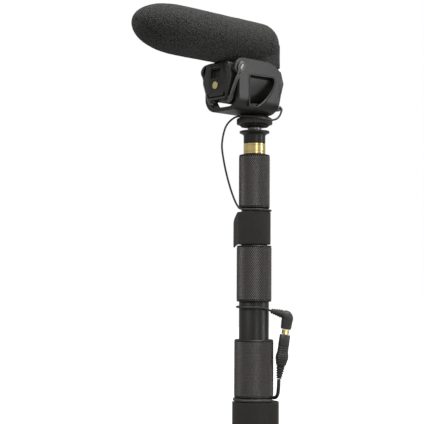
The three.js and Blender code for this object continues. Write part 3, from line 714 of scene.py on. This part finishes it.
def cradle_section():
    """The cradle from the front: two arms on a rounded floor."""
    points = [(ARM_OUTER, ARM_TOP), (ARM_INNER, ARM_TOP)] + arc(7, 776.6, 10.5, 0, -90)
    points += arc(-7, 776.6, 10.5, -90, -180) + [(-ARM_INNER, ARM_TOP), (-ARM_OUTER, ARM_TOP)]
    return points + arc(-8.5, 774.8, 12, 180, 270) + arc(8.5, 774.8, 12, -90, 0)


def arm_outline():
    points = [(CRADLE_FRONT, 761), (CRADLE_FRONT, 787)]
    points += bend(points[-1], (CRADLE_FRONT, 791), (-41, 792.5))
    points += bend(points[-1], (-44.5, 795), (-42.5, 799.5))
    points += bend(points[-1], (-39.5, 804.6), (-32.5, ARM_TOP))
    points += [(-6.5, ARM_TOP)]
    points += bend(points[-1], (4.5, 804.5), (9.5, 799))
    points += bend(points[-1], (12.5, 793), (CRADLE_REAR, 787))
    return points + [(CRADLE_REAR, 761)]


def arm_window():
    points = [(-25, 766.4), (-17, 766.4)]
    points += bend(points[-1], (-5.5, 772.5), (1.5, 784))
    points += bend(points[-1], (5.5, 793), (-0.3, 793))
    points += [(-25, 792.2)]
    points += bend(points[-1], (-26.4, 792.2), (-26.4, 791), 4)
    points += [(-26.4, 768)]
    return points + bend(points[-1], (-26.4, 766.4), (-25, 766.4), 4)[:-1]


def make_cradle():
    body = solid("cradle_moulded", prism(cradle_section(), "Y", -46, 16))
    cut(body, prism(arm_outline(), "X", -22, 22), "INTERSECT")
    cut(body, prism(arm_window(), "X", -22, 22))
    outline = [Vector(p) for p in arm_window()]
    bead = evenly(outline + outline[:1], 0.6)[:-1]
    for x in (0.15 - ARM_OUTER, ARM_OUTER - 0.15):
        cut(body, tube([(x, *p) for p in bead], 0.7, 8, True), "UNION")
    melted(body, 0.32, 4, 0.3)
    dress(body, "black_plastic", "section_1", "cradle", angle=60)


def leaning_oval(across, along, steps=32):
    """Y and Z of an oval round the front peg, its top leaning back."""
    lean = math.radians(-30)
    result = []
    for i in range(steps):
        a, b = across * math.cos(TAU * i / steps), along * math.sin(TAU * i / steps)
        y = PEG_Y + a * math.cos(lean) - b * math.sin(lean)
        result.append((y, PEG_Z + a * math.sin(lean) + b * math.cos(lean)))
    return result


def make_pegs():
    """The light pegs that the front bands hook over, one outside each arm."""
    for side, hand in ((-1, "left"), (1, "right")):
        x0, x1 = sorted((side * 20.2, side * 22.4))
        peg = bevelled(solid(f"peg_{hand}", prism(leaning_oval(1.15, 2.9), "X", x0, x1)), 0.45, 3)
        dress(peg, "peg_plastic", "section_1")


def band_loop(side, end):
    """One elastic band: a loop round its peg, and two strands down to a lug under the housing."""
    front = end == "front"
    if front:
        loops = ((21.4, 2.75, 4.4, 0.75), (22, 1.85, 3.6, 0.42))
        shapes = [
            tube([(side * x, y, z) for y, z in leaning_oval(across, along, 40)], thick, 10, True)
            for x, across, along, thick in loops
        ]
    else:
        turns = [TAU * i / 32 for i in range(32)]
        rear = [(side * 16.3, 5.4 + 2.2 * math.cos(t), 796.6 + 3.2 * math.sin(t)) for t in turns]
        shapes = [tube(rear, 0.8, 10, True)]
    lug_y = -40.2 if front else 14.4
    for offset in (-1.15, 1.15):
        if front:
            strand = [
                (21.2, PEG_Y - 1.6 + offset * 1.5, 793.6), (20.6, -38.4 + offset * 0.9, 791),
                (19.4, -39.7 + offset * 0.7, 787.4), (17.2, -40 + offset * 0.8, 782.6),
            ]
        else:
            strand = [
                (16.3, 8.6, 796 + offset), (17, 12.2, 794.4 + offset * 0.8),
                (17.5, 13.3 + offset * 0.6, 790.5), (16.6, 13.9 + offset * 0.8, 785),
                (15.3, 14.2 + offset * 0.8, 781),
            ]
        strand += [(13.6 - 0.2 * offset, lug_y + offset, 774.5), (12.3, lug_y + offset * 0.9, 771.3)]
        strand += [(10.6, lug_y + offset * 0.4, 769.6), (9.6, lug_y, 769.3)]
        shapes.append(tube(curve_through([(side * x, y, z) for x, y, z in strand], 0.8), 0.85, 10))
    return shapes


def make_bands():
    for side, hand in ((-1, "left"), (1, "right")):
        for end in ("front", "rear"):
            piece = solid(f"band_{end}_{hand}_elastic", *band_loop(side, end))
            dress(piece, "elastic_band", None, f"band_{end}_{hand}", angle=60)
            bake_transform(piece)


def make_clip():
    clip = bevelled(solid("cable_clip_moulded", box(12, 19, 9.3, 13.1, 766.3, 770.7)), 0.7, 3)
    cut(clip, tube([(x, CLIP_Y, CLIP_Z) for x in (10, 21)], 1.12, 24))
    dress(clip, "grey_plastic", "section_1", "cable_clip")


# ---------------------------------------------------------------- microphone
HOUSING = [(9.9, 771.5), (14.4, 783.5), (16.5, 790.5), (13.4, 801), (11.4, 802.9)]  # X and Z, right half
FLARE = 0.375  # how fast the housing widens upwards at its foot
RIM_FRONT, RIM_BACK = -45.3, -43
SWITCHES = {"power_switch": 795, "level_switch": 782}
LAMP_Z = 788.5
MIC_Z = 823
SEAT_Z = 803.2  # the foot of the foam


def mirrored(points):
    return points + [(-x, z) for x, z in reversed(points)]


def inset(amount, low, high):
    """The housing's section drawn in by the amount, between two heights."""
    middle = [(x - amount, z) for x, z in HOUSING[1:4]]
    lowest = HOUSING[0][0] + (low - HOUSING[0][1]) * FLARE - amount
    return mirrored([(lowest, low)] + middle + [(HOUSING[4][0] - amount, high)])


def housing_shell():
    """The housing's body, drawn in at the front to a chamfered rim round the door."""
    full = mirrored(HOUSING)
    count = len(full)
    verts = [(x, y, z) for y in (17, RIM_BACK) for x, z in full]
    verts += [(x, RIM_FRONT, z) for x, z in inset(2.4, 773.4, 801.7)]
    faces = [tuple(range(count)), tuple(range(3 * count - 1, 2 * count - 1, -1))]
    for row in (0, count):
        for i in range(count):
            n = (i + 1) % count
            faces.append((row + i, row + i + count, row + n + count, row + n))
    return verts, faces


def make_housing():
    shell = bevelled(solid("mic_housing_moulded", housing_shell()), 0.9, 3)
    for shape in (box(-9.8, 9.8, -45, -42, 771.6, 773.4), box(-5.5, 5.5, -8, 10, 801, 811.9)):
        cut(shell, shape, "UNION", bevel=0.5)
    for side in (-1, 1):
        x0, x1 = sorted((side * 7, side * 11.6))
        for y0, y1 in ((-42, -38.4), (12.6, 16.2)):
            cut(shell, box(x0, x1, y0, y1, 769.9, 774), "UNION", bevel=0.5)
    cut(shell, prism(inset(2.7, 773.4, 801.5), "Y", -46.5, -43.4))
    for room in (
        box(-10, 10, -46.5, -43.4, 773.4, 777.6),  # for the door's hinge
        box(-8.6, 8.6, -44, 9.5, 773, 800.2),  # for the battery and the board
        box(-9.2, 9.2, 11, 18, 775, 799),  # behind the rear panel
    ):
        cut(shell, room)
    dress(shell, "black_plastic", "microphone", "mic_housing", angle=40)


def make_rear_panel():
    panel = bevelled(solid("rear_panel_moulded", prism(inset(0.6, 772.2, 802.2), "Y", 17.3, 19)), 0.4)
    for z in reversed(SWITCHES.values()):
        cut(panel, box(-5, 5, 16, 20, z - 2.2, z + 2.2))
    cut(panel, tube([(0, y, LAMP_Z) for y in (16, 20)], 1.5, 24))
    dress(panel, "black_plastic", "microphone", "rear_panel", angle=40)
    for name, z in SWITCHES.items():
        knob = [(-1.8, 15.5), (1.8, 15.5), (1.8, 20.1)]
        for i in range(4):
            x = 1.45 - i * 0.9
            knob += [(x, 20.6), (x - 0.3, 20.1)]
        knob += [(-1.8, 20.1)]
        piece = bevelled(solid(f"{name}_knob", prism(knob, "Z", z - 1.7, z + 1.7)), 0.12)
        dress(piece, "grey_plastic", name.split("_")[0], name)


def make_door():
    plate = bevelled(solid("battery_door_moulded", prism(inset(3, 774.3, 801.2), "Y", -45.5, -43.7)), 0.5, 3)
    cut(plate, box(-8.2, 8.2, -44.5, -40, 787.5, 799.4), "UNION", bevel=0.4)
    cut(plate, box(-5.9, 5.9, -47, -42.1, 789.5, 805), bevel=0.9, segments=3)
    cut(plate, box(-7.2, 7.2, -46, -45.25, 786.9, 787.3))
    dress(plate, "black_plastic", "door", "battery_door", angle=40)

    tab = [(-45.3, 796.5), (-44.3, 796.6), (-44.3, 797.5), (-45.2, 797.9), (-45.35, 799.1), (-44.6, 799.4)]
    tab += [(-44.6, 799.9), (-45.35, 800.2), (-45.3, 801), (-43.7, 801), (-43.7, 796.5)]
    latch = bevelled(solid("door_latch_tab", prism(tab, "X", -5.4, 5.4)), 0.2)
    dress(latch, "black_plastic", "latch", "door_latch")

    dome = [(0, 46.35), (2.3, 46.3), (2.7, 46.15), (3.05, 46.0), (3.05, 45.8), (0, 45.8)]
    forwards = Matrix.Translation((0, 0, 783.4)) @ turn_by(90, "X")
    dress(solid("gold_dot_domed", moved(turned(dome, 48), forwards)), "gold_metal", "door", "gold_dot")


def along_barrel(shape):
    """Turns a shape made about Z to lie about the microphone's axis, with z becoming Y."""
    verts, faces = shape
    return [(x, z, MIC_Z + y) for x, y, z in verts], faces


def make_barrel():
    barrel = solid("interference_tube_slotted", along_barrel(ring(10, 11, -118, 13.5, 0.2, 80)))
    for y in range(-110, -25, 12):
        cut(barrel, box(-14, 14, y, y + 8, MIC_Z + 2.5, MIC_Z + 4.7))
    dress(barrel, "satin_black_metal", "microphone", "interference_tube", angle=40)
    cap = [(0, 8), (9.6, 8), (9.6, 13.8), (11, 13.8), (11, 17.6), (10.4, 18.7), (9, 19.6)]
    cap += [(5, 20.1), (0, 20.2)]
    piece = solid("barrel_cap_moulded", along_barrel(turned(softened(cap, 0.3, False), 80)))
    dress(piece, "black_plastic", "microphone", "barrel_cap")


FOAM_RADIUS = 19.3
FOAM_NOSE = (-84, 46.7)  # where the nose starts, and how long it is
FOAM_BLUNT = 0.9  # under 1, the nose is blunter than an ellipse
FOAM_SAG = 1.06  # how much fuller the underside is
FOAM_ROUND = 17.5  # the rounding of the rear end


def foam_profile():
    start, length = FOAM_NOSE
    profile = []
    for i in range(41):
        angle = i / 40 * math.pi / 2
        y = start - length * max(0, math.cos(angle)) ** FOAM_BLUNT
        profile.append((FOAM_RADIUS * math.sin(angle) ** FOAM_BLUNT, y))
    profile += [(FOAM_RADIUS, start + 2 * i) for i in range(1, 43)]
    for i in range(1, 19):
        across, along = FOAM_ROUND * math.cos(i / 18 * 0.98), FOAM_ROUND * math.sin(i / 18 * 0.98)
        profile.append((FOAM_RADIUS - FOAM_ROUND + across, 2.7 + along))
    return profile + [(0, profile[-1][1])]


def foam_body():
    """The windshield: a blunt round nose, an underside that spreads to a block at the rear, and a bore."""
    verts, faces = along_barrel(turned(foam_profile(), 72))
    sagged = [(x, y, z if z > MIC_Z else MIC_Z + (z - MIC_Z) * FOAM_SAG) for x, y, z in verts]
    body = solid("windshield_foam", (sagged, faces))
    plan = mirrored([(7.5, -34), (16.6, -2)] + arc(10.15, 10.95, 6.45, 0, 90, 10))
    cut(body, prism(plan, "Z", SEAT_Z, MIC_Z), "UNION")
    cut(body, along_barrel(turned([(0, -119.5), (11.5, -119.5), (11.5, 40), (0, 40)], 48)))
    cut(body, box(-6.3, 6.3, -9.5, 26, MIC_Z - 24, MIC_Z - 8))
    cut(body, box(-18, 18, -46, 26, MIC_Z - 24, SEAT_Z))
    return melted(body, 0.7, 6, 1.0)


def make_foam():
    """Its skin is pushed in and out a little by noise, as cut and worn foam is."""
    foam = foam_body()
    normals = [vertex.normal.copy() for vertex in foam.data.vertices]
    for vertex, normal in zip(foam.data.vertices, normals):
        at = vertex.co / MM
        swell = noise.noise(at * 0.09) * 0.16 + noise.noise(at * 0.9) * 0.16
        vertex.co += normal * (swell * MM)
    dress(foam, "foam", "foam", "windshield", angle=50)


# ---------------------------------------------------------------- straps
# Number, radius at the start, lift over the cable, foot, top, the cable's side and its width in degrees, body
STRAPS = (
    (1, 11.6, 5.3, 654, 681.2, 135, 7, "section_2"),
    (2, 14.9, 3.9, 496, 523.6, 45, 20, "section_4"),
    (3, 16.85, 4.6, 312, 339.5, CABLE_SIDE, 10, "handle"),
)
STRAP_THICK = 1.3
STRAP_TURNS = 1.65
STRAP_PITCH = 1.36  # from one turn to the next
STRAP_CORNER = 2.2  # radius of the corners at the free end
STRAP_END = 225  # degrees round the pole of the outer end


def strap_path(start, lift, side, plateau, tail, flare):
    """The strap's middle line seen from above: a tight spiral that lifts over a cable, then a free end."""
    steps = 150
    points = []
    for i in range(steps + 1):
        share = i / steps
        degrees = STRAP_END + 360 * STRAP_TURNS * (1 - share)
        away = abs((degrees - side + 180) % 360 - 180)
        t = min(max((away - plateau) / 30, 0), 1)
        swell = 1 - t * t * (3 - 2 * t)
        radius = start + STRAP_PITCH * STRAP_TURNS * share + lift * swell
        points.append(Vector(around_pole(degrees, radius, 0)))
    heading = (points[-1] - points[-2]).normalized()
    outward_way = Vector((points[-1].x, points[-1].y, 0)).normalized()
    for i in range(1, 9):
        share = i / 8
        stand = outward_way * (flare * math.sin(share * math.pi / 2)) - Vector((0, 0, flare * share))
        points.append(points[steps] + heading * (tail * share) + stand)
    return evenly(points, 0.9)


def strap_band(path, low, high):
    """A flat band along the path, with rolled selvedges and rounded corners at its free end."""
    half, height = STRAP_THICK / 2, high - low
    corners = [(half, 0.5), (half * 0.7, 0.12), (half, 2.4), (half * 0.92, 1.6)]
    section = [(0, 0), (0, height)]
    section += [(side * a, z) for side in (-1, 1) for a, b in corners for z in (b, height - b)]
    section.sort(key=lambda p: math.atan2(p[1] - height / 2, p[0] * 9))
    verts, uvs = [], []
    travelled, total = 0.0, path_length(path)
    for i, point in enumerate(path):
        ahead = path[min(i + 1, len(path) - 1)] - path[max(i - 1, 0)]
        across = Vector((ahead.y, -ahead.x, 0)).normalized()
        travelled += (point - path[i - 1]).length if i else 0
        left = total - travelled
        short = STRAP_CORNER - min(left, STRAP_CORNER)
        corner = STRAP_CORNER - math.sqrt(max(0, STRAP_CORNER**2 - short**2))
        for a, b in section:
            z = low + point.z + corner + b * (1 + point.z * 0.08) * (height - 2 * corner) / height
            spot = point + across * a
            verts.append((spot.x, spot.y, z))
            uvs.append((travelled * MM, z * MM))
    rows = rows_of(len(path), len(section))
    return verts, [tuple(rows[0]), tuple(reversed(rows[-1]))] + joined(rows), uvs


def make_straps():
    for number, start, lift, low, high, side, plateau, body in STRAPS:
        tail, flare = (15, 2.5) if number == 1 else (3, 0)
        path = strap_path(start, lift, side, plateau, tail, flare)
        verts, faces, uvs = strap_band(path, low, high)
        piece = solid(f"strap_{number}_webbing", (verts, faces))
        layer = piece.data.uv_layers.new(name="weave")
        for loop in piece.data.loops:
            layer.data[loop.index].uv = uvs[loop.vertex_index]
        dress(piece, "webbing", body, f"strap_{number}", angle=50)


# ---------------------------------------------------------------- plugs
CONNECTORS = Matrix.Translation((22.77, 17.11, 596)) @ turn_by(45, "Z") @ turn_by(7.8, "Y")
END_PLUG = Matrix.Translation(around_pole(CABLE_SIDE, 21.4, 300))


BOOT_RIBBED, RIB_PITCH, RIB_DEPTH = 9.5, 1.9, 0.55  # along the boot of the right-angle plug
BOOT_SHOULDER = 4.5  # the length over which it widens
BOOT_NECK, BOOT_BODY = 3.07, 4.75  # radii


def plug_boot():
    """The right-angle plug: a ribbed boot that thickens into a square-shouldered elbow and a plain body."""
    spine = [(-14.4, -1.9, 0.9), (-10, -1.3, 0.4), (-5, -0.5, -0.3), (-1.8, -0.1, -1.2)]
    spine += [(0, 0, -3), (0, 0, -6), (0, 0, -12.5)]
    points = curve_through(spine, 0.28)
    length = path_length(points)
    radii, travelled = [], 0.0
    for i, point in enumerate(points):
        travelled += (point - points[i - 1]).length if i else 0
        left = length - travelled
        if travelled < BOOT_RIBBED:
            rib = RIB_DEPTH * (0.5 - 0.5 * math.cos(TAU * travelled / RIB_PITCH)) if travelled > 0.8 else 0
            radii.append(1.5 + 0.165 * travelled + rib)
        else:
            t = min((travelled - BOOT_RIBBED) / BOOT_SHOULDER, 1)
            radii.append(BOOT_NECK + (BOOT_BODY - BOOT_NECK) * t * t * (3 - 2 * t))
        radii[-1] -= max(0.6 - left, 0) + 0.05 * max(9 - left, 0)
    return tube(points, radii, 28)


def turned_rod(profile):
    """Turned, with its [z, radius] points listed from the top down."""
    return turned([(0, profile[0][0])] + [(r, z) for z, r in profile] + [(0, profile[-1][0])], 40)


def grip_ribs(profile_of, low, high, count, depth):
    """A list of [z, radius] points down a handle, with shallow grooves across it between low and high."""
    steps = 10 * count
    points = []
    for i in range(steps + 1):
        z = high + (low - high) * i / steps
        groove = depth * (0.5 - 0.5 * math.cos(TAU * count * i / steps))
        points.append((z, profile_of(z) - groove))
    return points


def socket_shape():
    def radius(z):
        knots = [(-42.6, 3.9), (-40.5, 4.6), (-37, 5.4), (-34.4, 5.4), (-31.5, 4.7), (-17, 4.4)]
        for (z0, r0), (z1, r1) in zip(knots, knots[1:]):
            if z <= z1:
                t = (z - z0) / (z1 - z0)
                return r0 + (r1 - r0) * t
        return knots[-1][1]

    profile = [(-32, 2.1), (-17.2, 2.1), (-17, 2.4), (-17, 4.1), (-17.3, 4.4), (-22, radius(-22))]
    profile += grip_ribs(radius, -41, -26, 8, 0.3)
    profile += [(-41.8, 4.15), (-42.6, 3.7)]
    return turned_rod(profile)


def relief_shape():
    ribs = grip_ribs(lambda z: 2.4 + (z + 53.6) * 0.145, -53.2, -43.2, 5, 0.85)
    return turned_rod([(-42.9, 3.2)] + ribs + [(-53.6, 1.7)])


def end_plug_shape():
    def radius(z):
        return 4.7 if z > -26 else 4.7 + (z + 26) * 0.1

    profile = [(0, 1.7)] + grip_ribs(lambda z: 3.25 + z * 0.14 if z > -10 else 3.25, -9.6, -0.4, 5, 0.5)
    profile += [(-10.2, 3.3), (-12.6, 4.4), (-13.4, 4.7)] + grip_ribs(radius, -26, -15, 8, 0.25)
    return turned_rod([(z, max(r, 1.7)) for z, r in profile] + [(-30.4, 4.2), (-31, 3.6)])


def make_connectors():
    for name, shape, matrix, body, node in (
        ("lead_plug_moulded", plug_boot(), CONNECTORS, "section_3", "lead_plug"),
        ("socket_body_moulded", socket_shape(), CONNECTORS, "section_3", "socket_body"),
        ("socket_relief_ribbed", relief_shape(), CONNECTORS, "section_3", "socket_relief"),
        ("ext_plug_moulded", end_plug_shape(), END_PLUG, "handle", "ext_plug_body"),
    ):
        dress(solid(name, moved(shape, matrix)), "rubber", body, node, angle=50)


# ---------------------------------------------------------------- CAD pieces that stay
def finish_cad_nodes():
    """The inner pieces keep their CAD shape and get a full material."""
    kept = {"circuit_board": "circuit_board", "battery": "battery_can", "status_lamp": "lamp"}
    kept |= {f"{kind}_{n}": "nylon" for kind in ("guide_bush", "collet") for n in range(1, 5)}
    kept |= {"capsule": "steel", "thread_stud": "steel"}
    kept |= {"lead_plug_pin": "gold_metal", "ext_plug_pin": "gold_metal"}
    for name, material in kept.items():
        paint(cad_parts[name].data, material)


make_tubes()
make_collars()
make_butt()
make_tip()
make_shoe()
make_cradle()
make_pegs()
make_bands()
make_clip()
make_housing()
make_rear_panel()
make_door()
make_barrel()
make_foam()
make_straps()
make_connectors()
finish_cad_nodes()


# ---------------------------------------------------------------- studio
def make_floor():
    """A pale floor, lit a little from within so that it meets the pale surroundings without a line."""
    floor = solid("floor", box(-15000, 15000, -15000, 15000, -192, -190.5))
    looks = {"Roughness": 0.9, "Specular_IOR_Level": 0.1, "Emission_Strength": 0.9}
    tree, at = start_material("floor_paint", Emission_Color=(1, 1, 1, 1), **looks)
    cloud = mixed(tree, noise_node(tree, at, 2, 3), grey(0.9), grey(0.92))
    feed(tree, tree.nodes["Principled BSDF"].inputs["Base Color"], cloud)
    paint(floor.data, "floor_paint")
    floor.visible_diffuse = False
    floor.visible_glossy = False


def make_light(name, direction, distance, size, power):
    """A soft box that looks at the microphone and the top of the pole."""
    data = bpy.data.lights.new(name, "AREA")
    data.shape = "RECTANGLE"
    data.size, data.size_y = size
    data.energy = power
    light = new_object(name, data)
    target = Vector((0, 0, CAMERA_HEIGHT * MM))
    way = Vector(direction).normalized()
    turn = way.to_track_quat("Z", "Y").to_matrix().to_4x4()
    light.matrix_world = Matrix.Translation(target + way * distance) @ turn


def make_studio():
    """White surroundings for the camera, dimmer ones for the object, and four soft boxes."""
    world = bpy.data.worlds.new("studio")
    world.use_nodes = True
    tree = world.node_tree
    seen = add_node(tree, "ShaderNodeLightPath").outputs["Is Camera Ray"]
    feed(tree, tree.nodes["Background"].inputs["Strength"], ranged(tree, seen, 0.38, 1.0))
    feed(tree, tree.nodes["Background"].inputs["Color"], (1, 1, 1, 1))
    bpy.context.scene.world = world
    bpy.context.scene.view_settings.view_transform = "Standard"
    make_light("key", (-0.1, -1, 0.9), 1.6, (0.8, 1.0), 12)
    make_light("top", (0.25, 0.1, 1), 1.3, (0.7, 0.7), 15)
    make_light("rim", (1, 0.75, 0.3), 1.6, (0.35, 1.5), 7)
    make_light("fill", (0.9, -0.35, 0.1), 1.8, (0.4, 1.6), 4)


make_floor()
make_studio()

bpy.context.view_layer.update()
